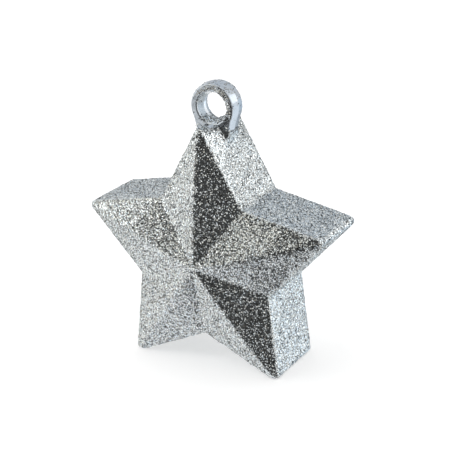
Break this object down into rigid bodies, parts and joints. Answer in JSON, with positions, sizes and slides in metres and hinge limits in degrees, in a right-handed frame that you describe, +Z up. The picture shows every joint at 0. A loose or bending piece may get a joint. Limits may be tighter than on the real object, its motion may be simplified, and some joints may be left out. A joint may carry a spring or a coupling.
{
  "type": "balloon weight",
  "caption": "Silver glitter star with faceted faces and a moulded ring on top, a small ballast-filled weight that anchors the ribbons of party balloons.",
  "frame": {"origin": "on the floor, midway between the two feet and midway between the front and rear faces", "axes": "+Z up through the ring, +X to the viewer's right, -Y out of the front face towards the viewer"},
  "size_m": [0.0758, 0.0328, 0.0836],
  "materials": {
    "silver_plastic": "gloss",
    "silver_glitter": "satin",
    "cast_mineral": "matte"
  },
  "bodies": {
    "star": {"front_shell": "silver_plastic", "rear_shell": "silver_plastic", "glitter_coat": "silver_glitter", "cast_core": "cast_mineral"},
    "plug": {"filler_plug": "silver_plastic"}
  },
  "joints": [
    {"name": "plug_pull", "type": "slide", "parent": "star", "child": "plug", "axis": [0, 1, 0], "range_m": [0, 0.008]}
  ]
}
